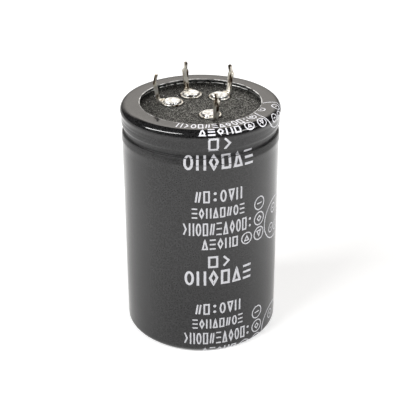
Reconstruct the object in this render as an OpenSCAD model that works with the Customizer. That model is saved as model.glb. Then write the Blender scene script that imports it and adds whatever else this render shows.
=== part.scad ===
// A large can-type electrolytic capacitor with four solder lugs.
// It stands on its base with the lugs up: +Z runs along the can's axis and
// the origin lies on that axis, in the plane that the part stands on.
// Angles round the axis run anticlockwise from +X, seen from above.

/* [Can] */
// Outer diameter of the drawn aluminium can
can_d = 45; // [40:0.5:50]
// Height of the can from its base to the top of its rolled rim
can_h = 70.8; // [60:0.2:90]
// Thickness of the can's sheet
can_wall = 0.6; // [0.5:0.05:0.7]
// Outside radius of the can's bottom corner
can_corner_r = 1.8; // [1.2:0.1:3]
// Radius of the rolled bead that carries the cover
bead_r = 0.9; // [0.7:0.05:1.1]
// How far the wall is drawn in at the bead's edges
neck_in = 0.2; // [0.1:0.05:0.3]
// How far the wall swells just under the bead
swell = 0.13; // [0.05:0.01:0.2]
// Length of the drawn-in wall between the swell and the bead
swell_run = 1.8; // [1:0.1:3]
// Length over which the wall widens into that swell
swell_rise = 1.8; // [1:0.1:3]
// How much the rim band stands out past the can's diameter, on the radius
rim_out = 0.1; // [0.05:0.05:0.2]
// How much more the rim bulges at its rolled shoulder
shoulder_out = 0.2; // [0.1:0.05:0.3]
// Height of that bulge, below the shoulder
shoulder_rise = 1.3; // [0.8:0.1:1.6]
// Outside radius of the rolled shoulder
shoulder_r = 1.7; // [1.4:0.1:2]
// Width of the flat part of the rolled rim
rim_flat = 1.7; // [1.2:0.05:2.6]

/* [Vent] */
// Length of each scored line of the safety vent in the base
score_l = 24; // [16:1:28]
// Width of a scored line
score_w = 0.5; // [0.3:0.1:0.8]
// Depth of a scored line
score_depth = 0.3; // [0.2:0.05:0.4]

/* [Sleeve] */
// Thickness of the heat-shrunk sleeve
sleeve_t = 0.25; // [0.15:0.01:0.3]
// How far the sleeve's free lip reaches in past the flat of the rolled rim
lip_reach = 2.05; // [1:0.05:3]
// How far the sleeve's free lip stands up
lip_rise = 0.15; // [0.05:0.05:0.25]
// How far the sleeve reaches in under the flat of the base
hem_reach = 4.2; // [2:0.1:6]
// Angle up to which the sleeve lies in the bead, before it spans it
sleeve_grip = 34; // [20:1:50]

/* [Cover] */
// Thickness of the rubber face of the cover
seal_t = 1.2; // [0.8:0.1:2]
// Height of the rubber's raised edge, which the rolled rim presses on
seal_edge_h = 0.45; // [0.2:0.05:0.6]
// How far that edge reaches in past the rolled rim
seal_edge_in = 0.35; // [0.1:0.05:0.8]
// Width of the slope from that edge down to the cover's face
seal_slope = 0.6; // [0.3:0.1:1.2]
// Thickness of the cover's laminate board
board_t = 3.4; // [2.5:0.1:5]
// How far the cover's face lies below the top of the can's rim
cover_drop = 1.2; // [1:0.05:1.5]
// Gap between the cover and the can's wall
cover_gap = 0.1; // [0.05:0.01:0.2]

/* [Lugs] */
// Directions of the four lugs round the can's axis
lug_angles = [169, 109.5, 47.5, -70.5]; // [-180:0.5:180]
// Distance of each rivet from the can's axis
rivet_r = 8.2; // [7.5:0.1:9]
// Thickness of the lugs' sheet
lug_t = 0.8; // [0.6:0.05:0.9]
// Diameter of a lug's round foot
foot_d = 6.3; // [5.8:0.1:7]
// Thickness that the foot is coined down to under the rivet's head
foot_t = 0.4; // [0.3:0.05:0.5]
// Inside radius of the bend between foot and blade
bend_r = 0.35; // [0.25:0.05:0.6]
// Distance from the rivet to the middle of the blade where it leaves the bend
blade_out = 4.2; // [3.8:0.1:4.5]
// Width of the blade
blade_w = 1.5; // [1.2:0.1:1.6]
// Angle at which the blade leans outward
blade_lean = 10; // [5:1:16]
// Height of the kink above the cover
kink_h = 6; // [5:0.1:7]
// Width over the ears at the kink
ear_w = 1.8; // [1.7:0.1:2.4]
// Height of the ears
ear_h = 1.2; // [0.8:0.1:1.6]
// Width of the tip that goes through the board's hole
tip_w = 0.95; // [0.7:0.05:1.1]
// Angle at which the tip leans back in
tip_lean = 13; // [5:1:20]
// Heights of the four lugs above the cover
lug_heights = [8.5, 8.7, 8.7, 8.2]; // [7.5:0.1:11]
// Width of the cut corners at the end of the tip
tip_chamfer = 0.25; // [0.1:0.05:0.3]

/* [Rivets] */
// Diameter of a rivet's flat top
head_top_d = 4.7; // [4:0.1:5]
// Diameter of a rivet's head where it meets the foot
head_d = 5.6; // [5.2:0.1:5.7]
// Height of a rivet's head above the foot
head_h = 0.5; // [0.3:0.05:0.8]
// Diameter of a rivet's shank
shank_d = 3; // [2.5:0.1:3.5]
// Clearance round the shank, on the radius
shank_gap = 0.05; // [0.02:0.01:0.1]
// Diameter of a rivet's closed end, inside the can
tail_d = 4.4; // [4.2:0.1:5]
// Height of a rivet's closed end
tail_h = 0.7; // [0.5:0.1:1]
// Diameter of the washer under the cover
washer_d = 6; // [5.4:0.1:7]
// Thickness of that washer
washer_t = 0.5; // [0.3:0.1:0.8]

/* [Winding] */
// Gap between the winding and the rounded edge of the can's floor
winding_gap = 0.2; // [0.1:0.1:1]
// Room above the winding, in which the foil tabs rise
tab_room = 6.9; // [5:0.1:9]
// Diameter of the hole that the winding mandrel leaves
mandrel_d = 5; // [3:0.5:8]
// Thickness of the tape round the winding
tape_t = 0.15; // [0.1:0.01:0.3]
// Width of a foil tab
tab_w = 5; // [4:0.2:5.6]
// Thickness of a foil tab
tab_t = 0.25; // [0.15:0.05:0.35]
// Distance of each foil tab's root from the can's axis
tab_r = 14; // [13:0.5:16]

/* [Hidden] */
$fn = 96;

// Steps along a quarter turn of a profile's arc
arc_steps = 8;
// A cut runs this far past the faces that it opens
past = 1;

// Heights, from the plane that the part stands on
base_z = sleeve_t;
floor_z = base_z + can_wall;
rim_z = base_z + can_h;
cover_z = rim_z - cover_drop;
seal_z = cover_z - seal_t;
board_z = seal_z - board_t;

// Radii of the can's outer face
can_r = can_d / 2;
neck_r = can_r - neck_in;
rim_r = can_r + rim_out;
shoulder_max_r = rim_r + shoulder_out;
cover_r = neck_r - can_wall - cover_gap;

// The cover rests on the bead's rounded inner face
bead_z = board_z - sqrt(pow(bead_r + can_wall, 2) - pow(can_wall + cover_gap, 2));
bead_low_z = bead_z - bead_r;
bead_high_z = bead_z + bead_r;

// Centres of the profile's arcs
corner_c = [can_r - can_corner_r, base_z + can_corner_r];
shoulder_c = [shoulder_max_r - shoulder_r, rim_z - shoulder_r];
// The rolled edge turns down onto the rubber's raised edge
seal_edge_z = cover_z + seal_edge_h;
nose_c = [shoulder_c[0] - rim_flat, seal_edge_z];
nose_r = rim_z - seal_edge_z;
seal_edge_r = nose_c[0] - nose_r - seal_edge_in;

// The sleeve keeps its thickness round the step into the bead
step_mitre = tan(45 - sleeve_grip / 4);

// Heights of the rim band's ends
band_low_z = bead_high_z + bead_r;
band_high_z = shoulder_c[1] - shoulder_rise;

// Bend of a lug, seen from the side, with the rivet at x = 0
bend_mid_r = bend_r + lug_t / 2;
bend_x = blade_out - bend_mid_r * cos(blade_lean);
bend_z = bend_r + lug_t;
kink_x = blade_out + (kink_h - bend_z + bend_mid_r * sin(blade_lean)) * tan(blade_lean);
tip_l = (max(lug_heights) - kink_h) / cos(tip_lean);

// The lugs that the two foil tabs lead to
TAB_LUGS = [3, 1];
// Underside of the washers, where the tabs are held
tab_z = board_z - washer_t;
winding_top_z = tab_z - tab_room;
winding_h = winding_top_z - floor_z;
winding_r = corner_c[0] - winding_gap;

// Points along an arc round c from angle a to angle b
function arc(c, r, a, b) =
    [for (i = [0:arc_steps]) c + r * [cos(a + (b - a) * i / arc_steps), sin(a + (b - a) * i / arc_steps)]];

// Whether a foil tab leads to lug number i
function has_tab(i) = len([for (k = TAB_LUGS) if (k == i) k]) > 0;

// A list in reverse order
function backwards(list) = [for (i = [len(list) - 1:-1:0]) list[i]];

// The can's side from its base to the bead, moved in by d from the outer face
function lower_side(d) = concat(
    arc(corner_c, can_corner_r - d, -90, 0),
    [
        [can_r - d, bead_low_z - swell_run - swell_rise],
        [can_r + swell - d, bead_low_z - swell_run]
    ]
);

// The rim band and the rolled shoulder, moved in by d from the outer face
function upper_side(d) = concat(
    [
        [rim_r - d, band_low_z],
        [rim_r - d, band_high_z]
    ],
    arc(shoulder_c, shoulder_r - d, 0, 90)
);

// The can's whole wall, with the neck at the bead left straight
function wall_side(d) = concat(
    lower_side(d),
    [
        [neck_r - d, bead_low_z],
        [neck_r - d, bead_high_z]
    ],
    upper_side(d),
    arc(nose_c, nose_r - d, 90, 180)
);

// The sleeve's side: it spans the bead instead of lying in it
function sleeve_side(d) = concat(
    [[corner_c[0] - hem_reach, base_z - d]],
    lower_side(-d),
    [
        [neck_r + d, bead_low_z + d * step_mitre],
        [neck_r - bead_r * sin(sleeve_grip) + d, bead_z - bead_r * cos(sleeve_grip) + d * step_mitre],
        [neck_r + d, bead_high_z]
    ],
    upper_side(-d),
    [
        [nose_c[0], rim_z + d],
        [nose_c[0] - lip_reach, rim_z + lip_rise + d]
    ]
);

// Places its children on lug number i, with x pointing outward
module at_lug(i) {
    rotate([0, 0, lug_angles[i]]) translate([rivet_r, 0, 0]) children();
}

// Bores for the four rivets from height z, with room past both faces
module rivet_bores(z, h) {
    for (i = [0:len(lug_angles) - 1])
        at_lug(i) translate([0, 0, z - past]) cylinder(h = h + 2 * past, r = shank_d / 2 + shank_gap);
}

// Heat-shrunk sleeve: hem under the base, dip at the bead, free lip over the rim
module sleeve() {
    color([0.2, 0.2, 0.21])
        rotate_extrude() polygon(concat(sleeve_side(sleeve_t), backwards(sleeve_side(0))));
}

// Bead rolled into the can's wall, as the ring of a tube of radius r
module bead_ring(r) {
    rotate_extrude() translate([neck_r, bead_z]) circle(r);
}

// Drawn can with bead, rolled rim and the scored vent in its base
module can() {
    color([0.78, 0.78, 0.8]) difference() {
        union() {
            rotate_extrude() polygon(concat(
                [[0, base_z]], wall_side(0), backwards(wall_side(can_wall)), [[0, floor_z]]
            ));
            intersection() {
                bead_ring(bead_r + can_wall);
                translate([0, 0, bead_z - 2 * bead_r]) cylinder(h = 4 * bead_r, r = neck_r - can_wall / 2);
            }
        }
        bead_ring(bead_r);
        for (turn = [0, 90])
            rotate([0, 0, turn]) translate([-score_l / 2, -score_w / 2, base_z - past])
                cube([score_l, score_w, past + score_depth]);
    }
}

// Rubber face of the cover, which the rolled rim presses on
module rubber_seal() {
    color([0.16, 0.16, 0.15]) difference() {
        rotate_extrude() polygon([
            [0, seal_z],
            [cover_r, seal_z],
            [cover_r, cover_z],
            [shoulder_c[0], seal_edge_z],
            [seal_edge_r, seal_edge_z],
            [seal_edge_r - seal_slope, cover_z],
            [0, cover_z]
        ]);
        rivet_bores(seal_z, seal_t);
    }
}

// Laminate board of the cover, standing on the bead
module cover_board() {
    color([0.45, 0.28, 0.16]) difference() {
        translate([0, 0, board_z]) cylinder(h = board_t, r = cover_r);
        rivet_bores(board_z, board_t);
    }
}

// Side view of a lug's bent strip, in x (outward) and y (up)
module lug_side() {
    bend_c = [bend_x, bend_z];
    kink_c = [kink_x, kink_h];
    tip_end = kink_c + tip_l * [-sin(tip_lean), cos(tip_lean)];
    tip_half = lug_t / 2 * [cos(tip_lean), sin(tip_lean)];
    // The kink's inner corner lies on the line that halves its angle
    mitre = lug_t / 2 / cos((tip_lean + blade_lean) / 2);
    mitre_angle = (tip_lean - blade_lean) / 2;
    polygon(concat(
        [[0, 0]],
        arc(bend_c, bend_r + lug_t, -90, -blade_lean),
        arc(kink_c, lug_t / 2, -blade_lean, tip_lean),
        [
            tip_end + tip_half,
            tip_end - tip_half,
            kink_c - mitre * [cos(mitre_angle), sin(mitre_angle)]
        ],
        arc(bend_c, bend_r, -blade_lean, -90),
        [[0, lug_t]]
    ));
}

// Front view of a blade that ends at height h, in x (across) and y (up)
module lug_front(h) {
    ear_step = (ear_w - blade_w) / 2;
    shoulder = (ear_w - tip_w) / 2;
    half = [
        [blade_w / 2, -past],
        [blade_w / 2, kink_h - ear_h - ear_step],
        [ear_w / 2, kink_h - ear_h],
        [ear_w / 2, kink_h],
        [tip_w / 2, kink_h + shoulder],
        [tip_w / 2, h - tip_chamfer],
        [tip_w / 2 - tip_chamfer, h]
    ];
    polygon(concat(half, [for (p = backwards(half)) [-p[0], p[1]]]));
}

// Stamped lug: coined round foot under the rivet, bent blade, kink with ears and thin tip
module lug(i) {
    color([0.86, 0.84, 0.78]) at_lug(i) translate([0, 0, cover_z]) difference() {
        union() {
            cylinder(h = foot_t, r = foot_d / 2);
            intersection() {
                rotate([90, 0, 0]) translate([0, 0, -ear_w]) linear_extrude(2 * ear_w) lug_side();
                rotate([90, 0, 90]) linear_extrude(kink_x + lug_t) lug_front(lug_heights[i]);
            }
        }
        translate([0, 0, foot_t]) cylinder(h = bend_z, r = head_d / 2);
        translate([0, 0, -past]) cylinder(h = foot_t + 2 * past, r = shank_d / 2 + shank_gap);
    }
}

// Rivet from its closed end under the washer to its pressed head on the lug's foot
module rivet(i) {
    low_z = has_tab(i) ? tab_z - tab_t : tab_z;
    head_z = cover_z + foot_t;
    color([0.9, 0.9, 0.9]) at_lug(i) rotate_extrude() polygon([
        [0, low_z - tail_h],
        [tail_d / 2, low_z - tail_h],
        [tail_d / 2, low_z],
        [shank_d / 2, low_z],
        [shank_d / 2, head_z],
        [head_d / 2, head_z],
        [head_top_d / 2, head_z + head_h],
        [0, head_z + head_h]
    ]);
}

// Washer between the board and the rivet's closed end
module washer(i) {
    color([0.8, 0.8, 0.82]) at_lug(i) translate([0, 0, tab_z]) difference() {
        cylinder(h = washer_t, r = washer_d / 2);
        translate([0, 0, -past]) cylinder(h = washer_t + 2 * past, r = shank_d / 2 + shank_gap);
    }
}

// Foil tab: rises from the winding and folds in under the washer
module tab(n) {
    color([0.85, 0.85, 0.87]) at_lug(TAB_LUGS[n]) difference() {
        union() {
            translate([-tab_w / 2, -tab_w / 2, tab_z - tab_t])
                cube([tab_r - rivet_r + tab_w / 2, tab_w, tab_t]);
            translate([tab_r - rivet_r - tab_t, -tab_w / 2, winding_top_z])
                cube([tab_t, tab_w, tab_z - winding_top_z]);
        }
        translate([0, 0, tab_z - tab_t - past]) cylinder(h = tab_t + 2 * past, r = shank_d / 2 + shank_gap);
    }
}

// Ring as tall as the winding, standing on the can's floor
module standing_ring(outer_r, inner_r) {
    translate([0, 0, floor_z]) difference() {
        cylinder(h = winding_h, r = outer_r);
        translate([0, 0, -past]) cylinder(h = winding_h + 2 * past, r = inner_r);
    }
}

// Wound foils and paper, soaked with electrolyte, as one body
module winding() {
    color([0.82, 0.76, 0.62]) standing_ring(winding_r - tape_t, mandrel_d / 2);
}

// Tape that holds the winding's last turn
module winding_tape() {
    color([0.75, 0.62, 0.3]) standing_ring(winding_r, winding_r - tape_t);
}

sleeve();
can();
rubber_seal();
cover_board();
lug(0);  // lug_1
lug(1);  // lug_2
lug(2);  // lug_3
lug(3);  // lug_4
rivet(0);  // rivet_1
rivet(1);  // rivet_2
rivet(2);  // rivet_3
rivet(3);  // rivet_4
washer(0);  // washer_1
washer(1);  // washer_2
washer(2);  // washer_3
washer(3);  // washer_4
tab(0);  // tab_1
tab(1);  // tab_2
winding();
winding_tape();
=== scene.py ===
import math

import bmesh
import bpy
import numpy as np
from mathutils import Matrix, Vector


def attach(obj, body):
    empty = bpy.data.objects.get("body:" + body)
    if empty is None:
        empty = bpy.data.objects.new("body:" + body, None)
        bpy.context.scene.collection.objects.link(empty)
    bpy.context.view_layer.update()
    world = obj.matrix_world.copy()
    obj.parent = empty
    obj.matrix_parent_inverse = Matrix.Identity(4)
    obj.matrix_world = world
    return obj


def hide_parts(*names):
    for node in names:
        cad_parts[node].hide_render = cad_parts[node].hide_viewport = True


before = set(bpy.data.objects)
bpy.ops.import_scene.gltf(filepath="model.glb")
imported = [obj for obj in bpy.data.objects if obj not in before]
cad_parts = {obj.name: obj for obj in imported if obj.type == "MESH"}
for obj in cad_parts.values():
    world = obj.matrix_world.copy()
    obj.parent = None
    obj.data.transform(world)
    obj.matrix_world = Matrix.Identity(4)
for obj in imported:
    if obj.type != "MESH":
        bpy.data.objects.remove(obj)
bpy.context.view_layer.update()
MM = 0.001

# Sizes of the CAD model, in millimetres and radians
SLEEVE_T = 0.25
LIP_REACH = 2.05
LIP_RISE = 0.15
HEM_REACH = 4.2
GRIP = math.radians(34)
CAN_R = 22.5
CAN_H = 70.8
CAN_WALL = 0.6
CORNER_R = 1.8
COVER_DROP = 1.2
COVER_GAP = 0.1
SEAL_T = 1.2
BOARD_T = 3.4
BEAD_R = 0.9
NECK_IN = 0.2
SWELL = 0.13
SWELL_RUN = 1.8
SWELL_RISE = 1.8
RIM_OUT = 0.1
RIM_FLAT = 1.7
SHOULDER_OUT = 0.2
SHOULDER_RISE = 1.3
SHOULDER_R = 1.7
RIVET_R = 8.2
LUG_T = 0.8
FOOT_R = 3.15
FOOT_T = 0.4
BEND_R = 0.35
BLADE_OUT = 4.2
BLADE_W = 1.5
BLADE_LEAN = math.radians(10)
KINK_H = 6.0
EAR_W = 1.8
EAR_H = 1.2
TIP_W = 0.95
TIP_LEAN = math.radians(13)
LUG_HEIGHTS = (8.5, 8.7, 8.7, 8.2)
HEAD_R = 2.8
HEAD_TOP_R = 2.35
HEAD_H = 0.5
SHANK_R = 1.5
TAIL_R = 2.2
TAIL_H = 0.7
WASHER_T = 0.5
TAB_T = 0.25

# Where the lugs point, in degrees, which of them is in front, and which two join a foil tab
LUG_ANGLES = (169.0, 109.5, 47.5, -70.5)
FRONT_LUG = 3
TAB_LUGS = (FRONT_LUG, 1)

# Places that follow from the sizes
BASE_Z = SLEEVE_T
CAN_TOP = BASE_Z + CAN_H
COVER_Z = CAN_TOP - COVER_DROP
BOARD_Z = COVER_Z - SEAL_T - BOARD_T
BEAD_Z = BOARD_Z - math.sqrt((BEAD_R + CAN_WALL) ** 2 - (CAN_WALL + COVER_GAP) ** 2)
NECK_R = CAN_R - NECK_IN
SWELL_R = CAN_R + SWELL
SWELL_Z = BEAD_Z - BEAD_R - SWELL_RUN
SWELL_START = SWELL_Z - SWELL_RISE
RIM_R = CAN_R + RIM_OUT
SHOULDER_C = (RIM_R + SHOULDER_OUT - SHOULDER_R, CAN_TOP - SHOULDER_R)
BAND_LOW_Z = BEAD_Z + 2 * BEAD_R
BAND_HIGH_Z = SHOULDER_C[1] - SHOULDER_RISE
NOSE_R = SHOULDER_C[0] - RIM_FLAT
LIP_R = NOSE_R - LIP_REACH
HEM_R = CAN_R - CORNER_R - HEM_REACH

# The visual skin lies this far inside the CAD sleeve, so that the print stays in its box
SKIN_IN = 0.03

# How far the ink stands out of the skin, and how far it reaches into it
PRINT_OUT = 0.012
PRINT_IN = 0.008

# The film's top slopes a little: out to the shoulder by an angle and a drop, and in to the lip
CROWN = math.radians(5.4)
CROWN_DROP = 0.08
SLOPE_R = 20.2
SLOPE_DROP = 0.018
RISE_R = 18.4
RISE_START = 0.02

# Height of the crease below the shoulder
CREASE_Z = 66.75

# Split in the sleeve's lip, as a line of points seen from above
SPLIT = [(-12.30, -12.20), (-11.89, -12.98), (-11.67, -13.71), (-11.71, -15.40)]

# Spot on the rubber from which the painted shade by the rim grows darker outward
RIM_SHADE_CENTRE = (5.0, -5.0, COVER_Z)

# Where the looks change, each as the two heights or distances between which it fades, in millimetres
CALM_Z = (65.5, 67.5)
# The ink's painted light rises from the side to the top between these heights
TOP_LIGHT_Z = (67.5, 70.0)
FOLD_REACH = (BEAD_R, 2.2)
SPLIT_REACH = (0.12, 0.26)
# The painted highlight along the lip's cut edge fades out over this reach
EDGE_HIGHLIGHT_R = (LIP_R + 0.15, LIP_R + 0.32)
# Reaches of the painted shade on the can's cut edge, in the middle and at both sides
CURL_SHADE_MIDDLE = (4.5, 8.5)
CURL_SHADE_SIDES = (12.5, 15.0)
# Reaches of the painted shade round the feet and by the rubber's rim
FEET_SHADE_R = (FOOT_R + 0.1, FOOT_R + 0.6)
RIM_SHADE_REACH = (12.0, 22.0)
TARNISH_Z = (COVER_Z + 3.5, COVER_Z + 8.0)
# Heights over which the dark spots low on the rivets' skirts fade out
LOW_SKIRT_Z = (COVER_Z + FOOT_T + 0.16, COVER_Z + FOOT_T + 0.40)


def node_adder(tree):
    """A helper that adds a node to a tree, with its inputs linked or set."""

    def node(kind, inputs=(), **settings):
        n = tree.nodes.new(kind)
        for key, value in settings.items():
            setattr(n, key, value)
        for key, value in dict(inputs).items():
            if isinstance(value, bpy.types.NodeSocket):
                tree.links.new(value, n.inputs[key])
            else:
                n.inputs[key].default_value = value
        return n

    return node


def material(name):
    """A new node material, with its shader, a helper that adds nodes and one that links."""
    mat = bpy.data.materials.new(name)
    mat.use_nodes = True
    tree = mat.node_tree

    def link(socket, target):
        tree.links.new(socket, target)

    return mat, tree.nodes["Principled BSDF"], node_adder(tree), link


def grey(level):
    return (level, level, level)


def ramp(node, source, stops):
    """A colour ramp from source through (place, colour) stops."""
    n = node("ShaderNodeValToRGB", {"Fac": source})
    elements = n.color_ramp.elements
    while len(elements) < len(stops):
        elements.new(0.5)
    for element, (place, colour) in zip(elements, stops):
        element.position = place
        element.color = (*colour, 1.0)
    return n.outputs["Color"]


def math_node(node, operation, a, b=0.0, clamp=False):
    n = node("ShaderNodeMath", {0: a, 1: b}, operation=operation)
    n.use_clamp = clamp
    return n.outputs["Value"]


def combined(node, operation, *values):
    """Values joined by one operation, from the first to the last."""
    result = values[0]
    for value in values[1:]:
        result = math_node(node, operation, result, value)
    return result


def mapped(node, value, low, high, to_low, to_high, smooth=False):
    """Value taken from low..high to to_low..to_high, held at both ends."""
    kind = "SMOOTHSTEP" if smooth else "LINEAR"
    inputs = {"Value": value, "From Min": low, "From Max": high, "To Min": to_low, "To Max": to_high}
    return node("ShaderNodeMapRange", inputs, interpolation_type=kind).outputs["Result"]


def faded(node, value, reach, to_low, to_high, smooth=False):
    """Value taken from a reach in millimetres to to_low..to_high."""
    return mapped(node, value, reach[0] * MM, reach[1] * MM, to_low, to_high, smooth)


def vector_math(node, operation, a, b=(0, 0, 0)):
    """The vector of an operation, or its value where it gives one."""
    n = node("ShaderNodeVectorMath", {0: a, 1: b}, operation=operation)
    return n.outputs["Value" if operation in ("DISTANCE", "DOT_PRODUCT", "LENGTH") else "Vector"]


def scaled(node, vector, factor):
    return node("ShaderNodeVectorMath", {0: vector, "Scale": factor}, operation="SCALE").outputs["Vector"]


def stretched(node, place, scale):
    return node("ShaderNodeMapping", {"Vector": place, "Scale": scale}).outputs["Vector"]


def axis_of(node, place, axis):
    """One coordinate of a place."""
    return node("ShaderNodeSeparateXYZ", {"Vector": place}).outputs[axis]


def from_above(node, place):
    """The place with its height left out."""
    return vector_math(node, "MULTIPLY", place, (1, 1, 0))


def noise(node, vector, scale, detail=3.0, roughness=0.5):
    inputs = {"Vector": vector, "Scale": scale, "Detail": detail, "Roughness": roughness}
    return node("ShaderNodeTexNoise", inputs).outputs["Fac"]


def blended(node, factor, a, b, blend="MIX"):
    """Colour a mixed with colour b by factor."""
    inputs = {"Factor": factor, "A": a, "B": b}
    return node("ShaderNodeMix", inputs, data_type="RGBA", blend_type=blend).outputs["Result"]


def bumped(node, height, strength, distance, normal=None):
    inputs = {"Height": height, "Strength": strength, "Distance": distance}
    if normal is not None:
        inputs["Normal"] = normal
    return node("ShaderNodeBump", inputs).outputs["Normal"]


def split_distance(node, place):
    """Distance to the split, in metres, from a point seen from above."""
    flat = from_above(node, place)
    gaps = []
    for (ax, ay), (bx, by) in zip(SPLIT, SPLIT[1:]):
        run = ((bx - ax) * MM, (by - ay) * MM, 0)
        from_a = vector_math(node, "SUBTRACT", flat, (ax * MM, ay * MM, 0))
        dot = vector_math(node, "DOT_PRODUCT", from_a, run)
        share = math_node(node, "MULTIPLY", dot, 1 / (run[0] ** 2 + run[1] ** 2), clamp=True)
        gaps.append(vector_math(node, "DISTANCE", from_a, scaled(node, run, share)))
    return combined(node, "MINIMUM", *gaps)


# Heat-shrunk film: near black, with drawn streaks, orange peel, dust, a painted highlight along the lip's
# cut edge, and the split
def film_material():
    mat, shader, node, link = material("shrink_film")
    place = node("ShaderNodeTexCoord").outputs["Object"]
    height = axis_of(node, place, "Z")
    on_top = math_node(node, "GREATER_THAN", height, (CAN_TOP - 0.5) * MM)
    near = faded(node, split_distance(node, place), SPLIT_REACH, 1.0, 0.0)
    split = combined(node, "MULTIPLY", near, on_top)
    # Colour, with dust and a painted highlight along the lip's cut edge, broken up unevenly
    veil = noise(node, place, 2300.0, 2.0, 0.7)
    base = ramp(node, veil, [(0.36, grey(0.001)), (0.64, (0.022, 0.022, 0.023))])
    dust = mapped(node, noise(node, place, 4200.0, 2.0), 0.66, 0.74, 0.0, 0.03)
    radius = vector_math(node, "LENGTH", from_above(node, place))
    # The painted highlight lies on top along the lip's cut edge and is broken into dashes
    cut = faded(node, radius, EDGE_HIGHLIGHT_R, 1.0, 0.0)
    highlight_breaks = mapped(node, noise(node, place, 420.0), 0.38, 0.58, 0.1, 1.0)
    # Dust, together with the painted highlight along the lip's edge
    pale = combined(node, "MAXIMUM", dust, combined(node, "MULTIPLY", cut, highlight_breaks, on_top))
    link(blended(node, pale, base, (0.90, 0.89, 0.87, 1.0)), shader.inputs["Base Color"])
    # Gloss, which is lost in the split and in the fold over the bead
    gloss = mapped(node, noise(node, place, 90.0, 4.0), 0.3, 0.7, 0.09, 0.15)
    from_bead = math_node(node, "ABSOLUTE", math_node(node, "SUBTRACT", height, BEAD_Z * MM))
    fold = faded(node, from_bead, FOLD_REACH, 0.5, 0.0, True)
    link(combined(node, "MAXIMUM", gloss, split, fold), shader.inputs["Roughness"])
    shader.inputs["IOR"].default_value = 1.46
    # Orange peel and streaks, which nearly end where the film is stretched over the rim
    calm = faded(node, height, CALM_Z, 1.0, 0.2)
    peel = noise(node, place, 1500.0, 2.0)
    streaks = noise(node, stretched(node, place, (1.0, 1.0, 0.03)), 900.0)
    normal = bumped(node, peel, combined(node, "MULTIPLY", calm, 0.05), 0.0001)
    normal = bumped(node, streaks, combined(node, "MULTIPLY", calm, 0.06), 0.0001, normal)
    normal = bumped(node, combined(node, "MULTIPLY", split, -1.0), 1.0, 0.00015, normal)
    link(normal, shader.inputs["Normal"])
    return mat


# Pale ink, printed a little unevenly, with painted light that leaves it darker down the side and brightest
# over the rim
def ink_material():
    mat, shader, node, link = material("pale_ink")
    place = node("ShaderNodeTexCoord").outputs["Object"]
    wear = noise(node, place, 2600.0)
    colour = ramp(node, wear, [(0.30, (0.82, 0.82, 0.87)), (0.46, (0.95, 0.95, 1.0))])
    # Painted light: the ink is darker down the side and brightest on top
    painted_top_light = faded(node, axis_of(node, place, "Z"), TOP_LIGHT_Z, 0.58, 1.0, True)
    link(scaled(node, colour, painted_top_light), shader.inputs["Base Color"])
    shader.inputs["Roughness"].default_value = 0.45
    link(bumped(node, wear, 0.1, 0.00005), shader.inputs["Normal"])
    return mat


# Drawn aluminium: fine lines round the axis, a little dulled
def aluminium_material():
    mat, shader, node, link = material("drawn_aluminium")
    place = node("ShaderNodeTexCoord").outputs["Object"]
    lines = noise(node, stretched(node, place, (0.15, 0.15, 6.0)), 1500.0)
    stains = noise(node, place, 350.0, 4.0)
    tone = combined(node, "MULTIPLY", combined(node, "ADD", lines, stains), 0.5)
    colour = ramp(node, tone, [(0.38, (0.52, 0.52, 0.53)), (0.62, (0.80, 0.80, 0.81))])
    link(colour, shader.inputs["Base Color"])
    shader.inputs["Metallic"].default_value = 1.0
    link(mapped(node, stains, 0.35, 0.65, 0.24, 0.38), shader.inputs["Roughness"])
    link(bumped(node, lines, 0.15, 0.00005), shader.inputs["Normal"])
    return mat


# Cut edge of the can: bright, broken into dashes by dark patches, with painted shade in the middle and at
# both sides
def curl_material():
    mat, shader, node, link = material("curled_edge")
    place = node("ShaderNodeTexCoord").outputs["Object"]
    bare = ramp(node, noise(node, place, 760.0, 2.0), [(0.43, grey(0.02)), (0.48, (1.0, 1.0, 0.97))])
    # Painted shade darkens the edge in the middle and at both sides
    aside = math_node(node, "ABSOLUTE", axis_of(node, place, "X"))
    middle = faded(node, aside, CURL_SHADE_MIDDLE, 0.30, 1.0, True)
    painted_side_shade = faded(node, aside, CURL_SHADE_SIDES, 1.0, 0.15, True)
    link(scaled(node, bare, combined(node, "MULTIPLY", middle, painted_side_shade)), shader.inputs["Base Color"])
    shader.inputs["Metallic"].default_value = 0.3
    shader.inputs["Roughness"].default_value = 0.45
    link(bumped(node, noise(node, place, 2500.0), 0.3, 0.00005), shader.inputs["Normal"])
    return mat


def around_feet(node, place):
    """Distance from the nearest rivet's axis, in metres."""
    flat = from_above(node, place)
    gaps = []
    for angle in np.radians(LUG_ANGLES):
        axis = (RIVET_R * MM * math.cos(angle), RIVET_R * MM * math.sin(angle), 0)
        gaps.append(vector_math(node, "DISTANCE", flat, axis))
    return combined(node, "MINIMUM", *gaps)


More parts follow.
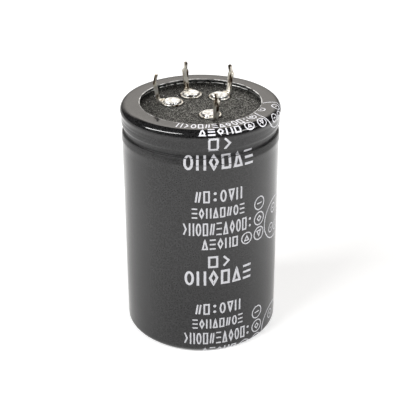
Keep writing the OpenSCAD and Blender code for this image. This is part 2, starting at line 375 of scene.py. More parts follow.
# Rubber face: matt and coarsely grained, with painted shade round the feet and by the rim, and pale specks
# of dust
def rubber_material():
    mat, shader, node, link = material("cover_rubber")
    place = node("ShaderNodeTexCoord").outputs["Object"]
    grain = noise(node, place, 3000.0, 3.0, 0.8)
    clouds = noise(node, place, 150.0)
    base = ramp(node, clouds, [(0.3, (0.032, 0.032, 0.030)), (0.7, (0.048, 0.047, 0.044))])
    tone = ramp(node, grain, [(0.40, grey(0.06)), (0.53, grey(0.42)), (0.64, (9.0, 9.0, 8.5))])
    # Painted shade round the feet, and by the rim at the back and the left, which also dulls the sheen
    # there
    painted_feet_shade = faded(node, around_feet(node, place), FEET_SHADE_R, 0.25, 1.0, True)
    away = vector_math(node, "DISTANCE", place, [c * MM for c in RIM_SHADE_CENTRE])
    rim = faded(node, away, RIM_SHADE_REACH, 1.0, 0.36, True)
    shade = combined(node, "MULTIPLY", painted_feet_shade, rim)
    grained_and_shaded = scaled(node, blended(node, 1.0, base, tone, "MULTIPLY"), shade)
    # A few cells of a fine pattern hold a speck
    cells = node("ShaderNodeTexVoronoi", {"Vector": place, "Scale": 2000.0})
    near = math_node(node, "LESS_THAN", cells.outputs["Distance"], 0.26)
    draw = node("ShaderNodeSeparateColor", {"Color": cells.outputs["Color"]}).outputs["Red"]
    speck = combined(node, "MULTIPLY", near, math_node(node, "GREATER_THAN", draw, 0.955))
    link(blended(node, speck, grained_and_shaded, (0.55, 0.54, 0.50, 1.0)), shader.inputs["Base Color"])
    shader.inputs["Roughness"].default_value = 0.55
    level = combined(node, "MULTIPLY", shade, mapped(node, grain, 0.40, 0.62, 0.0, 0.75))
    link(level, shader.inputs["Specular IOR Level"])
    link(bumped(node, grain, 0.5, 0.00012), shader.inputs["Normal"])
    return mat


# Tinned lugs: bright, with dull and brownish patches that darken towards the tip
def tin_material():
    mat, shader, node, link = material("tinned_lug")
    place = node("ShaderNodeTexCoord").outputs["Object"]
    patches = noise(node, stretched(node, place, (1.0, 1.0, 0.45)), 750.0, 4.0)
    fine = noise(node, place, 3500.0)
    up = faded(node, axis_of(node, place, "Z"), TARNISH_Z, 0.0, 0.10)
    tarnish = combined(node, "SUBTRACT", patches, up)
    brown, dull = (0.05, 0.035, 0.025), (0.50, 0.44, 0.35)
    cream, bright = (0.94, 0.90, 0.81), (1.0, 0.98, 0.92)
    colour = ramp(node, tarnish, [(0.37, brown), (0.43, dull), (0.48, cream), (0.60, bright)])
    link(colour, shader.inputs["Base Color"])
    link(mapped(node, tarnish, 0.3, 0.6, 0.55, 0.34), shader.inputs["Roughness"])
    shader.inputs["Metallic"].default_value = 1.0
    link(bumped(node, fine, 0.35, 0.00008, bumped(node, patches, 0.4, 0.00012)), shader.inputs["Normal"])
    return mat


# Pressed rivet heads: bright aluminium with tool marks, and dark spots low on the skirt
def rivet_material():
    mat, shader, node, link = material("pressed_rivet")
    place = node("ShaderNodeTexCoord").outputs["Object"]
    marks = noise(node, place, 1100.0, 4.0)
    fine = noise(node, place, 3800.0)
    metal = ramp(node, marks, [(0.34, (0.50, 0.49, 0.47)), (0.50, (0.78, 0.78, 0.76)), (0.66, grey(0.92))])
    # Dark spots low on the skirt, just above the foot
    low = faded(node, axis_of(node, place, "Z"), LOW_SKIRT_Z, 1.0, 0.0, True)
    spots = mapped(node, noise(node, place, 900.0, 2.0), 0.46, 0.56, 0.0, 0.9)
    low_dark_spots = combined(node, "MULTIPLY", low, spots)
    link(blended(node, low_dark_spots, metal, (0.07, 0.055, 0.04, 1.0)), shader.inputs["Base Color"])
    shader.inputs["Metallic"].default_value = 1.0
    link(mapped(node, marks, 0.35, 0.6, 0.40, 0.26), shader.inputs["Roughness"])
    link(bumped(node, fine, 0.2, 0.00006, bumped(node, marks, 0.3, 0.0002)), shader.inputs["Normal"])
    return mat


# Brown laminate, foil, wound paper and film tape of the inner pieces
def plain_material(name, dark, pale, roughness, metallic, scale, stretch):
    mat, shader, node, link = material(name)
    place = node("ShaderNodeTexCoord").outputs["Object"]
    grain = noise(node, stretched(node, place, stretch), scale, 4.0)
    link(ramp(node, grain, [(0.3, dark), (0.7, pale)]), shader.inputs["Base Color"])
    shader.inputs["Roughness"].default_value = roughness
    shader.inputs["Metallic"].default_value = metallic
    link(bumped(node, grain, 0.3, 0.0001), shader.inputs["Normal"])
    return mat


def add_piece(name, verts, faces, mat, sharp=None):
    """A smooth mesh piece from points in millimetres, with edges sharper than sharp degrees kept."""
    mesh = bpy.data.meshes.new(name)
    mesh.from_pydata([tuple(c * MM for c in v) for v in verts], [], faces)
    mesh.validate()
    mesh.materials.append(mat)
    bm = bmesh.new()
    bm.from_mesh(mesh)
    bmesh.ops.recalc_face_normals(bm, faces=bm.faces)
    bm.to_mesh(mesh)
    bm.free()
    for polygon in mesh.polygons:
        polygon.use_smooth = True
    if sharp is not None:
        mesh.set_sharp_from_angle(angle=math.radians(sharp))
    obj = bpy.data.objects.new(name, mesh)
    bpy.context.scene.collection.objects.link(obj)
    return obj


def row_faces(rows, m, closed=False, first=0):
    """Faces that join rows of m points round each, from the point numbered first on."""
    faces = []
    for k in range(rows if closed else rows - 1):
        a, b = first + k * m, first + (k + 1) % rows * m
        faces += [(a + s, a + (s + 1) % m, b + (s + 1) % m, b + s) for s in range(m)]
    return faces


def arc(c, r, a, b, steps):
    """Points round c from angle a to angle b, in degrees."""
    angles = np.radians(np.linspace(a, b, steps + 1))
    return [(c[0] + r * math.cos(t), c[1] + r * math.sin(t)) for t in angles]


def refined(marks):
    """Points on the line through (point, step) marks, no further apart than the next mark's step."""
    out = [marks[0][0]]
    for (p, _), (q, step) in zip(marks, marks[1:]):
        n = max(1, math.ceil(math.dist(p, q) / step))
        out += [(p[0] + (q[0] - p[0]) * k / n, p[1] + (q[1] - p[1]) * k / n) for k in range(1, n + 1)]
    return out


def sleeve_outline():
    """The sleeve's outer face from the hem to the lip, as (radius, height), finer at its bends."""
    t = SLEEVE_T
    mitre = t * math.tan(math.radians(45) - GRIP / 4)
    corner = arc((CAN_R - CORNER_R, BASE_Z + CORNER_R), CORNER_R + t, -90, 0, 12)
    side = [
        ((CAN_R + t, SWELL_START), 1.0),
        ((SWELL_R + t, SWELL_Z), 0.4),
        ((NECK_R + t, BEAD_Z - BEAD_R + mitre), 0.22),
        ((NECK_R - BEAD_R * math.sin(GRIP) + t, BEAD_Z - BEAD_R * math.cos(GRIP) + mitre), 0.15),
        ((NECK_R + t, BEAD_Z + BEAD_R), 0.2),
        ((RIM_R + t, BAND_LOW_Z), 0.2),
        ((RIM_R + t, BAND_HIGH_Z), 0.15),
    ]
    face = CAN_TOP + t
    turn_r = (SHOULDER_R + t) / (1 - math.sin(CROWN))
    turn_c = (SHOULDER_C[0] - turn_r * math.sin(CROWN), face - CROWN_DROP - turn_r * math.cos(CROWN))
    shoulder = arc(turn_c, turn_r, 0, 90 - math.degrees(CROWN), 16)
    lip = [
        (SLOPE_R, face - SLOPE_DROP),
        (NOSE_R, face),
        (RISE_R, face + RISE_START),
        (LIP_R, face + LIP_RISE / 3),
    ]
    marks = [((HEM_R, 0.0), 0.0), (corner[0], 0.6)]
    marks += [(p, 0.3) for p in corner[1:]] + side
    marks += [(p, 0.3) for p in shoulder] + [(p, 0.16) for p in lip]
    return refined(marks)


class Skin:
    """The sleeve's outer face: a point from its angle and its distance along the outline."""

    def __init__(self, outline, inset):
        points = np.array(outline)
        ahead = np.gradient(points, axis=0)
        ahead /= np.linalg.norm(ahead, axis=1)[:, None]
        # The outward normal lies to the right of the way up
        self.normals = np.stack([ahead[:, 1], -ahead[:, 0]], axis=1)
        self.points = points - inset * self.normals
        self.along = np.concatenate([[0], np.cumsum(np.linalg.norm(np.diff(points, axis=0), axis=1))])
        self.heights = points[:, 1]
        self.end = float(self.along[-1])

    def at(self, angle, along, out=0.0):
        """Point at an angle and a distance along the outline, moved out along the normal."""
        r, z = (np.interp(along, self.along, self.points[:, k] + out * self.normals[:, k]) for k in (0, 1))
        return (r * math.cos(angle), r * math.sin(angle), z)

    def along_at(self, height):
        """Distance along the outline at a height, carried on straight past the side's two ends."""
        low, high = BASE_Z + CORNER_R + 0.5, SHOULDER_C[1] - 0.2
        held = min(max(height, low), high)
        k = int(np.argmax(self.heights > held))
        found = np.interp(held, self.heights[k - 1:k + 1], self.along[k - 1:k + 1])
        return float(found) + height - held


skin = Skin(sleeve_outline(), SKIN_IN)
BEAD_ALONG = skin.along_at(BEAD_Z - 0.3)
CREASE_ALONG = skin.along_at(CREASE_Z)


def bell(x, width):
    return math.exp(-((x / width) ** 2))


def turned(angle, degrees):
    """How far an angle lies from a direction, in degrees."""
    return (math.degrees(angle) - degrees + 180) % 360 - 180


def relief(angle, along):
    """Unevenness of the shrunk film, in millimetres along its normal, never outward."""
    from_lip = skin.end - along
    wave = 0.010 * math.sin(7 * angle + 1.3) + 0.003 * math.sin(11 * angle + along * 0.3) - 0.013
    ripple = math.sin(11 * angle + 0.4) + 0.6 * math.sin(23 * angle + 2.0) - 1.6
    lip = 0.016 * bell(from_lip, 1.3) * ripple
    crown = -0.045 * max(0.0, 1 - from_lip / 3.6) ** 2
    bead = 0.006 * bell(along - BEAD_ALONG, 0.8) * (math.sin(29 * angle) - 1)
    # The crease shows at the left and the right of the front
    depth = 0.05 * bell(turned(angle, -160), 32) + 0.03 * bell(turned(angle, -15), 25)
    crease = -depth * bell(along - CREASE_ALONG - 0.25 * math.sin(2 * angle + 0.5), 0.22)
    return wave + lip + crown + bead + crease


def ring_angles():
    """Angles of the sleeve's columns, closer together at the split in the lip."""
    angles = [math.radians(a) for a in np.arange(-180, 180, 360 / 340)]
    angles += [math.radians(a) for a in np.arange(-141, -124, 0.34)]
    return sorted(angles)


# Sleeve: outer and inner face, turned round the lip and the hem
def build_sleeve(mat):
    film = SLEEVE_T - 2 * SKIN_IN
    edge = film / 2
    inside = [a for a in skin.along if edge < a < skin.end - edge]
    rows = [(a, 0.0) for a in inside]
    rows += [(skin.end - 0.3 * edge, -0.3 * edge), (skin.end, -edge), (skin.end - 0.3 * edge, -1.7 * edge)]
    # The inner face needs fewer rows
    rows += [(a, -film) for a in inside[::-1][::3]]
    rows += [(0.3 * edge, -1.7 * edge), (0.0, -edge), (0.3 * edge, -0.3 * edge)]
    angles = ring_angles()
    verts = [skin.at(angle, along, out + relief(angle, along)) for along, out in rows for angle in angles]
    return add_piece("sleeve_film", verts, row_faces(len(rows), len(angles), closed=True), mat)


# Longest step along a stroke, and the bare film kept at the hem and at the lip, in millimetres
STROKE_STEP = 0.4
HEM_MARGIN = 0.3
LIP_MARGIN = 0.25


class Print:
    """Thin strokes of ink on the skin. Places are (around, along) in millimetres."""

    def __init__(self, angle, along):
        self.verts = []
        self.faces = []
        self.angle = angle
        self.along = along

    def stroke(self, points, width, closed=False):
        points = [np.array(p, float) for p in points]
        if closed:
            points.append(points[0])
        fine = [points[0]]
        for p, q in zip(points, points[1:]):
            n = max(1, math.ceil(np.linalg.norm(q - p) / STROKE_STEP))
            fine += [p + (q - p) * k / n for k in range(1, n + 1)]
        if closed:
            fine.pop()
        count = len(fine)
        rows = []
        for k, p in enumerate(fine):
            before = fine[k - 1] if closed or k > 0 else p
            after = fine[(k + 1) % count] if closed or k < count - 1 else p
            u = (p - before) / max(np.linalg.norm(p - before), 1e-9)
            v = (after - p) / max(np.linalg.norm(after - p), 1e-9)
            way = u + v
            way /= np.linalg.norm(way)
            side = np.array([-way[1], way[0]])
            # A corner is mitred, at most to twice the width
            straight = max(abs(float(np.dot(way, u if np.any(u) else v))), 0.5)
            rows.append((p, side * width / 2 / straight))
        for run, loops in self.inside_runs(rows, closed):
            self.ribbon(run, loops)

    def inside_runs(self, rows, closed):
        """The stretches of a stroke that lie on the film, and whether each is a whole loop."""
        ends = [(self.along + p[1] - abs(s[1]), self.along + p[1] + abs(s[1])) for p, s in rows]
        kept = [low > HEM_MARGIN and high < skin.end - LIP_MARGIN for low, high in ends]
        if all(kept):
            return [(rows, closed)]
        if closed:
            start = kept.index(False)
            rows = rows[start:] + rows[:start]
            kept = kept[start:] + kept[:start]
        runs = [[]]
        for row, keep in zip(rows, kept):
            if keep:
                runs[-1].append(row)
            elif runs[-1]:
                runs.append([])
        return [(run, False) for run in runs if len(run) > 1]

    def ribbon(self, rows, closed):
        """One ribbon of ink with a section of five points."""
        first = len(self.verts)
        for p, side in rows:
            section = ((p - side, PRINT_OUT), (p, PRINT_OUT), (p + side, PRINT_OUT),
                       (p + side, -PRINT_IN), (p - side, -PRINT_IN))
            for place, out in section:
                angle = self.angle + place[0] / (CAN_R + SLEEVE_T)
                along = self.along + place[1]
                self.verts.append(skin.at(angle, along, out + relief(angle, along)))
        self.faces += row_faces(len(rows), 5, closed, first)
        if not closed:
            last = first + 5 * (len(rows) - 1)
            self.faces += [tuple(first + j for j in range(5)), tuple(last + j for j in range(5))]


def loop(r, x=0.0, y=0.0, squash=1.0, count=28):
    turn = [2 * math.pi * k / count for k in range(count)]
    return [(x + r * math.cos(t), y + r * squash * math.sin(t)) for t in turn]


# Plain marks, each a list of strokes (points, closed) within half width a and half height b
def mark_strokes(kind, a, b, w):
    h = b - w / 2
    d = a - w / 2
    if kind == "frame":
        return [([(-d, -h), (d, -h), (d, h), (-d, h)], True)]
    if kind == "bars":
        return [([(x, -b), (x, b)], False) for x in (-d, d)]
    if kind == "stack":
        return [([(-a, y), (a, y)], False) for y in (-h, 0, h)]
    if kind == "wedge":
        return [([(-d, -h), (d, -h), (0, h)], True)]
    if kind == "wedge_down":
        return [([(d, h), (-d, h), (0, -h)], True)]
    if kind == "diamond":
        return [([(0, -h), (d, 0), (0, h), (-d, 0)], True)]
    if kind == "arrow":
        return [([(-d * 0.6, -h), (d * 0.7, 0), (-d * 0.6, h)], False)]
    if kind == "slants":
        return [([(x - d * 0.35, -h), (x + d * 0.35, h)], False) for x in (-d * 0.65, d * 0.65)]
    if kind == "ring":
        return [(loop(d, squash=h / d), True)]
    if kind == "dots":
        return [(loop(w * 0.4, 0, y, count=10), True) for y in (-h * 0.6, h * 0.6)]
    return [([(-a, 0), (a, 0)], False)]


def row(low, high, start, end, kinds, width):
    """One line of marks between two heights and two angles in degrees."""
    kinds = kinds.split()
    span = math.radians(end - start) * (CAN_R + SLEEVE_T)
    pitch = span / len(kinds)
    work = Print(math.radians((start + end) / 2), skin.along_at((low + high) / 2))
    for k, kind in enumerate(kinds):
        x = (k + 0.5) * pitch - span / 2
        for points, closed in mark_strokes(kind, pitch * 0.39, (high - low) / 2, width):
            work.stroke([(x + px, py) for px, py in points], width, closed)
    return work


def circled(angle, height, r, kind, width=0.36, squash=1.0):
    """A ring with one plain mark in it."""
    work = Print(math.radians(angle), skin.along_at(height))
    work.stroke(loop(r, squash=squash), width, True)
    for points, closed in mark_strokes(kind, r * 0.5, r * 0.52 * squash, width):
        work.stroke(points, width, closed)
    return work


def diagram(angle, height, r, squash=1.0):
    """Plan of the four lugs in a ring."""
    work = Print(math.radians(angle), skin.along_at(height))
    work.stroke(loop(r, squash=squash, count=48), 0.34, True)
    for t in np.radians(LUG_ANGLES):
        x, y = -r * 0.55 * math.cos(t), -r * 0.55 * math.sin(t) * squash
        work.stroke(loop(r * 0.22, x, y, squash, count=18), 0.3, True)
        work.stroke([(x - r * 0.08, y), (x + r * 0.08, y)], 0.28)
    return work


def label(shift):
    """One copy of the printed label, moved up by shift."""
    long_line = "arrow bars ring frame slants stack wedge diamond ring frame dots"
    works = [
        row(59.8 + shift, 64.5 + shift, -103, -50, "ring bars diamond frame wedge stack", 0.72),
        row(65.5 + shift, 69.3 + shift, -86, -67, "frame arrow", 0.62),
        row(49.8 + shift, 53.5 + shift, -95, -59, "slants frame dots ring wedge_down bars", 0.5),
        row(45.0 + shift, 48.2 + shift, -97, -57, "stack diamond bars wedge frame slants ring stack", 0.44),
        row(39.5 + shift, 43.5 + shift, -104, -50, long_line, 0.44),
        row(35.0 + shift, 38.3 + shift, -90, -62, "wedge stack diamond bars frame", 0.46),
        circled(-55, 36.6 + shift, 1.75, "wedge"),
    ]
    column = ((46.2, "dash"), (41.3, "diamond"), (36.5, "wedge_down"))
    works += [circled(-43, height + shift, 2.0, kind) for height, kind in column]
    return works + [diagram(-20, 38.0 + shift, 6.5)]


def top_label():
    """The next copy of the label, which runs over the shoulder and is cut by the lip."""
    long_line = "bars arrow ring frame slants stack wedge diamond ring frame dots"
    return [
        row(70.0, 72.3, -92, -60, "wedge stack diamond bars frame", 0.46),
        row(72.9, 75.6, -110, -47, long_line, 0.4),
        circled(-53, 71.3, 1.5, "wedge", 0.34, 0.85),
        circled(-42, 74.6, 1.6, "diamond", 0.34, 0.85),
        circled(-41, 70.9, 1.6, "wedge_down", 0.34, 0.85),
        diagram(-20, 72.2, 6.2, 0.9),
    ]


# How far apart the label's copies stand, in millimetres
LABEL_PITCH = 36.5


def build_print(mat):
    verts, faces = [], []
    for work in label(0.0) + label(-LABEL_PITCH) + top_label():
        first = len(verts)
        verts += work.verts
        faces += [tuple(first + v for v in face) for face in work.faces]
    return add_piece("printed_marks", verts, faces, mat, 40)


def lathe(profile, count, deform):
    """Verts and faces of a profile of (radius, height) turned round the z axis, from pole to pole."""
    verts = [(0.0, 0.0, profile[0][1])]
    for r, z in profile[1:-1]:
        for s in range(count):
            angle = 2 * math.pi * s / count
            dr, dz = deform(r, z, angle)
            verts.append(((r + dr) * math.cos(angle), (r + dr) * math.sin(angle), z + dz))
    verts.append((0.0, 0.0, profile[-1][1]))
    rings = len(profile) - 2
    last = len(verts) - 1
    top = last - count
    faces = [(0, 1 + (s + 1) % count, 1 + s) for s in range(count)]
    faces += row_faces(rings, count, first=1)
    faces += [(top + s, top + (s + 1) % count, last) for s in range(count)]
    return verts, faces


def placed(verts, lug):
    """Points of a lug's own frame, with x outward from its rivet, in the part's frame."""
    angle = math.radians(LUG_ANGLES[lug])
    c, s = math.cos(angle), math.sin(angle)
    return [((x + RIVET_R) * c - y * s, (x + RIVET_R) * s + y * c, z) for x, y, z in verts]


# Half the length of the rounded kink and how far it is pulled in, and the blade's soft corner
KINK_HALF = 0.22
KINK_IN = 0.03
BLADE_SOFT = 0.13

# Stations of the blade's root, as distances from the rivet, and where its taper ends and how steep it is
BLADE_ROOT = (2.5, 2.9, 3.2)
TAPER_END = 3.75
TAPER = 0.55


def lug_half_width(h, height):
    """Half the blade's width at height h over the cover."""
    half, ear, tip = BLADE_W / 2, EAR_W / 2, TIP_W / 2
    low = KINK_H - EAR_H
    stops = [
        (0, half), (low - 0.2, half), (low, ear - 0.04), (low + 0.2, ear), (KINK_H - 0.1, ear),
        (KINK_H + 0.12, ear - 0.1), (KINK_H + 0.4, tip + 0.02), (KINK_H + 0.55, tip),
        (height - 0.3, tip), (height - 0.14, tip - 0.07), (height, tip - 0.2),
    ]
    return float(np.interp(h, [s[0] for s in stops], [s[1] for s in stops]))


def lug_path(height):
    """Stations of a blade's middle line: (x, z, direction angle from the horizontal)."""
    mid_r = BEND_R + LUG_T / 2
    bend = (BLADE_OUT - mid_r * math.cos(BLADE_LEAN), BEND_R + LUG_T)
    kink_x = BLADE_OUT + (KINK_H - bend[1] + mid_r * math.sin(BLADE_LEAN)) * math.tan(BLADE_LEAN)
    lean_up, tip_up = math.pi / 2 - BLADE_LEAN, math.pi / 2 + TIP_LEAN
    stations = [(x, LUG_T / 2, 0.0) for x in (*BLADE_ROOT, bend[0])]
    for t in np.linspace(0, lean_up, 9)[1:]:
        stations.append((bend[0] + mid_r * math.sin(t), bend[1] - mid_r * math.cos(t), t))
    x, z, _ = stations[-1]
    reach = math.dist((x, z), (kink_x, KINK_H)) - KINK_HALF
    for s in np.linspace(0, reach, 15)[1:]:
        stations.append((x + s * math.cos(lean_up), z + s * math.sin(lean_up), lean_up))
    for k in range(1, 6):
        share = (k - 3) / 3
        way = lean_up if share < 0 else tip_up
        x = kink_x + KINK_HALF * share * math.cos(way) - KINK_IN * (1 - abs(share))
        z = KINK_H + KINK_HALF * share * math.sin(way)
        stations.append((x, z, lean_up + (tip_up - lean_up) * k / 6))
    # The tip's outer corner ends at the lug's height
    end = (height - 0.01 - LUG_T / 2 * math.sin(TIP_LEAN) - KINK_H) / math.cos(TIP_LEAN)
    for s in np.linspace(KINK_HALF, end, 17):
        stations.append((kink_x + s * math.cos(tip_up), KINK_H + s * math.sin(tip_up), tip_up))
    return stations


def blade_section(half):
    """Outline of a blade's section with soft corners, as (across, out) points."""
    thick = LUG_T / 2 - 0.005
    soft = min(BLADE_SOFT, half * 0.6)
    across, out = half - soft, thick - soft
    corners = ((across, out, 0), (-across, out, 90), (-across, -out, 180), (across, -out, 270))
    return [point for y, n, start in corners for point in arc((y, n), soft, start, start + 90, 3)]


# Blade of rounded section that bends, kinks and narrows, with a root that tapers into the foot
def blade(lug):
    height = LUG_HEIGHTS[lug]
    stations = lug_path(height)
    verts = []
    for x, z, t in stations:
        half = lug_half_width(z, height)
        if t == 0:
            half += max(0.0, TAPER * (TAPER_END - x))
        verts += [(x - n * math.sin(t), y, z + n * math.cos(t)) for y, n in blade_section(half)]
    m = len(verts) // len(stations)
    faces = row_faces(len(stations), m)
    faces += [tuple(range(m)), tuple(range(len(verts) - m, len(verts)))]
    return verts, faces


# Coined foot with a soft edge, round the rivet's shank
def foot(first):
    inner = SHANK_R + 0.05
    outline = [
        (inner, 0.0), (FOOT_R - 0.06, 0.0), (FOOT_R - 0.01, 0.06), (FOOT_R - 0.005, 0.22),
        (FOOT_R - 0.04, 0.33), (FOOT_R - 0.12, FOOT_T), (inner, FOOT_T),
    ]
    turns = 72
    angles = [2 * math.pi * s / turns for s in range(turns)]
    verts = [(r * math.cos(a), r * math.sin(a), z) for r, z in outline for a in angles]
    return verts, row_faces(len(outline), turns, closed=True, first=first)


# Burr at the back of one foot, a small cone
BURR_LUG = 2
BURR_AT = (2.32, 1.92)
BURR_R = 0.2
BURR_FOOT = 0.1
BURR_TOP = (2.37, 1.96, 0.95)


def burr(first):
    verts = [(x, y, BURR_FOOT) for x, y in arc(BURR_AT, BURR_R, 0, 315, 7)]
    faces = [(first + k, first + (k + 1) % 8, first + 8) for k in range(8)]
    return verts + [BURR_TOP], faces + [tuple(range(first, first + 8))]


def build_lug(lug, mat):
    verts, faces = blade(lug)
    makers = (foot, burr) if lug == BURR_LUG else (foot,)
    for make in makers:
        more_verts, more_faces = make(len(verts))
        verts += more_verts
        faces += more_faces
    raised = [(x, y, z + COVER_Z) for x, y, z in verts]
    return add_piece(f"solder_lug_{lug + 1}", placed(raised, lug), faces, mat, 50)


# Rivet: closed end, shank, and a head pressed down with a fluted tool
def build_rivet(lug, mat):
    tail = BOARD_Z - WASHER_T - (TAB_T if lug in TAB_LUGS else 0.0)
    head = COVER_Z + FOOT_T
    top = head + HEAD_H
    profile = [
        (0, tail - TAIL_H), (TAIL_R - 0.15, tail - TAIL_H), (TAIL_R, tail - TAIL_H + 0.15), (TAIL_R, tail),
        (SHANK_R, tail), (SHANK_R, head), (HEAD_R - 0.06, head), (HEAD_R - 0.01, head + 0.05),
        (HEAD_R - 0.05, head + 0.14), (HEAD_R - 0.16, head + 0.24), (HEAD_TOP_R + 0.12, head + 0.34),
        (HEAD_TOP_R + 0.05, head + 0.42), (HEAD_TOP_R, top - 0.04), (HEAD_TOP_R - 0.08, top - 0.01),
        (HEAD_TOP_R - 0.25, top - 0.01), (1.9, top - 0.015), (1.6, top - 0.025), (1.2, top - 0.03),
        (0.8, top - 0.025), (0.4, top - 0.03), (0, top - 0.03),
    ]
    # The front rivet is dented more than the others
    crushed = 1.0 if lug == FRONT_LUG else 0.25

    def pressed(r, z, angle):
        if z < head + 0.03:
            return 0.0, 0.0
        flutes = 0.5 + 0.5 * math.sin(13 * angle + 1.7 * lug + 1.1 * math.sin(3 * angle))
        rim = bell(r - (HEAD_R - 0.2), 0.28)
        wave = 0.5 + 0.5 * math.sin(3.4 * r * math.cos(angle - 0.5) + 1.1 * r * math.sin(2 * angle) + lug)
        return -0.20 * rim * flutes, -0.10 * rim * (1 - flutes) - 0.14 * crushed * wave * bell(r, 2.4)

    verts, faces = lathe(profile, 96, pressed)
    return add_piece(f"pressed_rivet_{lug + 1}", placed(verts, lug), faces, mat, 38)


# End of the can's rolled rim, a thin bright edge that bites into the rubber under the sleeve's lip
CURL_R = 17.98
CURL_EDGE_R = 0.17
CURL_Z = COVER_Z + 0.13


def build_curl(mat):
    section = arc((CURL_R, CURL_Z), CURL_EDGE_R, 0, 330, 11)
    turns = 240
    verts = []
    for s in range(turns):
        angle = 2 * math.pi * s / turns
        bite = 0.05 * math.sin(31 * angle) + 0.04 * math.sin(53 * angle + 1.0)
        verts += [((r + bite) * math.cos(angle), (r + bite) * math.sin(angle), z) for r, z in section]
    return add_piece("curl_edge", verts, row_faces(turns, len(section), closed=True), mat)


# Larger specks of dust on the rubber, each (distance from the axis, angle in degrees, size)
DUST = [
    (15.1, 152, 0.17), (13.0, 146, 0.13), (9.9, 133, 0.16), (11.7, 26, 0.14),
    (12.0, 21.5, 0.17), (15.3, 8, 0.12), (13.8, 96, 0.10), (15.9, 74, 0.10),
    (14.6, 120, 0.09), (6.0, 210, 0.09), (12.6, -20, 0.08), (14.9, 170, 0.09),
]


# Each speck is a low cone on six points, closed below
def build_dust(mat):
    verts, faces = [], []
    for r, angle, size in DUST:
        x, y = r * math.cos(math.radians(angle)), r * math.sin(math.radians(angle))
        first = len(verts)
        verts += [(px, py, COVER_Z - 0.01) for px, py in arc((x, y), size, 0, 300, 5)]
        verts += [(x, y, COVER_Z + size * 0.8), (x, y, COVER_Z - 0.03)]
        faces += [(first + k, first + (k + 1) % 6, first + 6) for k in range(6)]
        faces += [(first + (k + 1) % 6, first + k, first + 7) for k in range(6)]
    return add_piece("dust_specks", verts, faces, mat)


# A speck of pale lint on the shoulder
def build_speck(mat):
    speck = Print(math.radians(-43.5), skin.along_at(70.6))
    speck.stroke([(0, -0.16), (0.06, 0.14)], 0.3)
    return add_piece("lint_speck", speck.verts, speck.faces, mat, 40)


def use_piece(piece, node):
    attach(piece, "root")
    if node:
        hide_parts(node)


film = film_material()
ink = ink_material()
aluminium = aluminium_material()
curl_metal = curl_material()
rubber = rubber_material()
tin = tin_material()
rivet_metal = rivet_material()

# Inner materials: dark and pale tone, roughness, metallic, and the grain's scale and stretch
laminate = plain_material(
    "brown_laminate", (0.20, 0.10, 0.05), (0.34, 0.19, 0.10), 0.55, 0.0, 500.0, (1, 1, 8)
)
foil = plain_material(
    "etched_foil", (0.62, 0.62, 0.63), (0.82, 0.82, 0.83), 0.45, 1.0, 1800.0, (1, 1, 1)
)
paper = plain_material(
    "soaked_paper", (0.50, 0.40, 0.24), (0.74, 0.64, 0.46), 0.7, 0.0, 600.0, (4, 4, 0.2)
)
tape = plain_material(
    "film_tape", (0.56, 0.42, 0.16), (0.74, 0.60, 0.30), 0.3, 0.0, 300.0, (1, 1, 0.3)
)

use_piece(build_sleeve(film), "sleeve")
use_piece(build_print(ink), None)
use_piece(build_speck(ink), None)
use_piece(build_curl(curl_metal), None)
use_piece(build_dust(ink), None)
for lug in range(4):
    use_piece(build_lug(lug, tin), f"lug_{lug + 1}")
    use_piece(build_rivet(lug, rivet_metal), f"rivet_{lug + 1}")

# Materials of the CAD nodes that stay
FINISHES = {
    "can": aluminium,
    "rubber_seal": rubber,
    "cover_board": laminate,
    "winding": paper,
    "winding_tape": tape,
}
for node_name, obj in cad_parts.items():
    finish = FINISHES.get(node_name)
    if node_name.startswith(("washer_", "tab_")):
        finish = foil
    if finish:
        for material_slot in obj.material_slots:
            material_slot.material = finish


def standing(x, y, z, place):
    """Matrix of an object with its three axes along x, y and z, at a place."""
    rows = [(x[k], y[k], z[k], place[k]) for k in range(3)]
    return Matrix((*rows, (0, 0, 0, 1)))


# Camera at the photograph's place, from a fit of the can's outlines, in pixels, radians and millimetres
FOCAL_PX = 1046.17
IMAGE_PX = 400
CAMERA_ELEVATION = math.radians(26.967)
CAMERA_ROLL = math.radians(-0.2132)
CAMERA_DISTANCE = 313.04
CAMERA_AIM = Vector((-0.227, 0.0, 39.30))


def add_camera():
    back = Vector((0, -math.cos(CAMERA_ELEVATION), math.sin(CAMERA_ELEVATION)))
    right = Vector((1, 0, 0))
    up = right.cross(-back)
    c, s = math.cos(CAMERA_ROLL), math.sin(CAMERA_ROLL)
    data = bpy.data.cameras.new("camera")
    data.sensor_width = 36.0
    data.lens = FOCAL_PX * data.sensor_width / IMAGE_PX
    data.clip_start = 0.01
    obj = bpy.data.objects.new("camera", data)
    bpy.context.scene.collection.objects.link(obj)
    place = (CAMERA_AIM + CAMERA_DISTANCE * back) * MM
    obj.matrix_world = standing(c * right + s * up, c * up - s * right, back, place)
    bpy.context.scene.camera = obj


add_camera()

# Soft studio light, in metres: a strip at each side of the front, and a bright backdrop in a dark room
STRIP_DISTANCE = 0.8
STRIP_MIDDLE = Vector((0, 0, 0.06))
ROOM = 0.05
BACK_LOW = 0.44
BACK_RISE = 6.9
BACK_TINT = (1.05, 1.0, 0.94)

# Where the backdrop fades, as parts of a unit direction: to its sides, at its foot and at its top
BACK_SIDES = (0.70, 0.96)
BACK_FOOT = (0.0, 0.08)
BACK_TOP = (0.54, 0.66)


def direction(azimuth, elevation):
    """Unit vector of a direction given in degrees."""
    a, e = math.radians(azimuth), math.radians(elevation)
    return Vector((math.cos(a) * math.cos(e), math.sin(a) * math.cos(e), math.sin(e)))


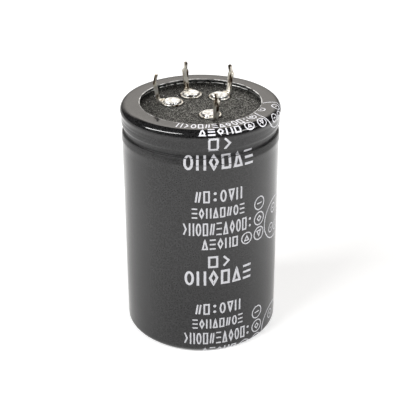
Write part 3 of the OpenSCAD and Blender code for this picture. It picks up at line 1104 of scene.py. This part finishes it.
def add_strip(name, start, end, thickness, radiance):
    """A long soft lamp between two directions (azimuth, elevation), facing the part."""
    ends = [STRIP_DISTANCE * direction(*way) for way in (start, end)]
    middle = (ends[0] + ends[1]) / 2
    x = (ends[1] - ends[0]).normalized()
    z = (middle - middle.dot(x) * x).normalized()
    data = bpy.data.lights.new(name, "AREA")
    data.shape = "RECTANGLE"
    data.size = (ends[1] - ends[0]).length
    data.size_y = thickness
    data.energy = radiance * math.pi * data.size * data.size_y
    obj = bpy.data.objects.new(name, data)
    obj.matrix_world = standing(x, z.cross(x), z, STRIP_MIDDLE + middle)
    bpy.context.scene.collection.objects.link(obj)


add_strip("left_strip", (-174, 24), (-122, 45), 0.10, 27.0)
add_strip("right_strip", (-6, 24), (-58, 45), 0.12, 15.0)


def add_world():
    world = bpy.data.worlds.new("studio")
    world.use_nodes = True
    world.node_tree.nodes.clear()
    node = node_adder(world.node_tree)
    way = node("ShaderNodeTexCoord").outputs["Generated"]
    y, z = axis_of(node, way, "Y"), axis_of(node, way, "Z")
    # The backdrop stands behind the part, up to a little above the camera's mirrored line
    z_squared = combined(node, "MULTIPLY", z, z)
    level = math_node(node, "SQRT", math_node(node, "SUBTRACT", 1.001, z_squared))
    behind = mapped(node, combined(node, "DIVIDE", y, level), *BACK_SIDES, 0.0, 1.0, True)
    over = mapped(node, z, *BACK_FOOT, 0.0, 1.0, True)
    under = mapped(node, z, *BACK_TOP, 1.0, 0.0, True)
    backdrop = combined(node, "ADD", combined(node, "MULTIPLY", z_squared, BACK_RISE), BACK_LOW)
    light = combined(node, "ADD", combined(node, "MULTIPLY", backdrop, behind, over, under), ROOM)
    soft = node("ShaderNodeBackground", {"Color": scaled(node, BACK_TINT, light), "Strength": 1.0})
    white = node("ShaderNodeBackground", {"Color": (1, 1, 1, 1), "Strength": 1.0})
    seen = node("ShaderNodeLightPath").outputs["Is Camera Ray"]
    inputs = {"Fac": seen, 1: soft.outputs["Background"], 2: white.outputs["Background"]}
    mix = node("ShaderNodeMixShader", inputs)
    node("ShaderNodeOutputWorld", {"Surface": mix.outputs["Shader"]})
    bpy.context.scene.world = world


add_world()

# Half the floor's width, and the reach and strength of its glow, which leans to the right, in metres
FLOOR_REACH = 3
GLOW_NEAR = 0.26
GLOW_MID = 0.63
GLOW_FAR = 0.05
GLOW_RISE = (0.03, 0.10)
GLOW_FALL = (0.15, 0.24)
GLOW_RIGHT = 2.0
GLOW_SIDES = (0.7, 1.4)

# The camera sees another glow, which keeps the shadow near the part and turns to white farther off
SEEN_GLOW = (0.40, 0.95)
SEEN_RISE = (0.10, 0.60)


def add_floor():
    mat, shader, node, link = material("pale_floor")
    place = node("ShaderNodeTexCoord").outputs["Object"]
    cloud = noise(node, place, 6.0, 2.0)
    link(ramp(node, cloud, [(0.3, grey(0.92)), (0.7, grey(0.94))]), shader.inputs["Base Color"])
    shader.inputs["Roughness"].default_value = 0.9
    shader.inputs["Specular IOR Level"].default_value = 0.0
    away = vector_math(node, "LENGTH", place)
    rise = mapped(node, away, *GLOW_RISE, GLOW_NEAR, GLOW_MID, True)
    fall = mapped(node, away, *GLOW_FALL, 1.0, GLOW_FAR / GLOW_MID, True)
    lean = combined(node, "ADD", combined(node, "MULTIPLY", axis_of(node, place, "X"), GLOW_RIGHT), 1.0)
    side = mapped(node, lean, *GLOW_SIDES, *GLOW_SIDES)
    glow = combined(node, "MULTIPLY", rise, fall, side)
    even = mapped(node, away, *SEEN_RISE, *SEEN_GLOW)
    seen = node("ShaderNodeLightPath").outputs["Is Camera Ray"]
    mix = node("ShaderNodeMix", {"Factor": seen, "A": glow, "B": even})
    shader.inputs["Emission Color"].default_value = (1, 1, 1, 1)
    link(mix.outputs["Result"], shader.inputs["Emission Strength"])
    corners = [(x * FLOOR_REACH, y * FLOOR_REACH, 0) for x, y in ((-1, -1), (1, -1), (1, 1), (-1, 1))]
    mesh = bpy.data.meshes.new("floor")
    mesh.from_pydata(corners, [], [(0, 1, 2, 3)])
    mesh.materials.append(mat)
    obj = bpy.data.objects.new("floor", mesh)
    bpy.context.scene.collection.objects.link(obj)


add_floor()
bpy.context.scene.view_settings.view_transform = "Standard"
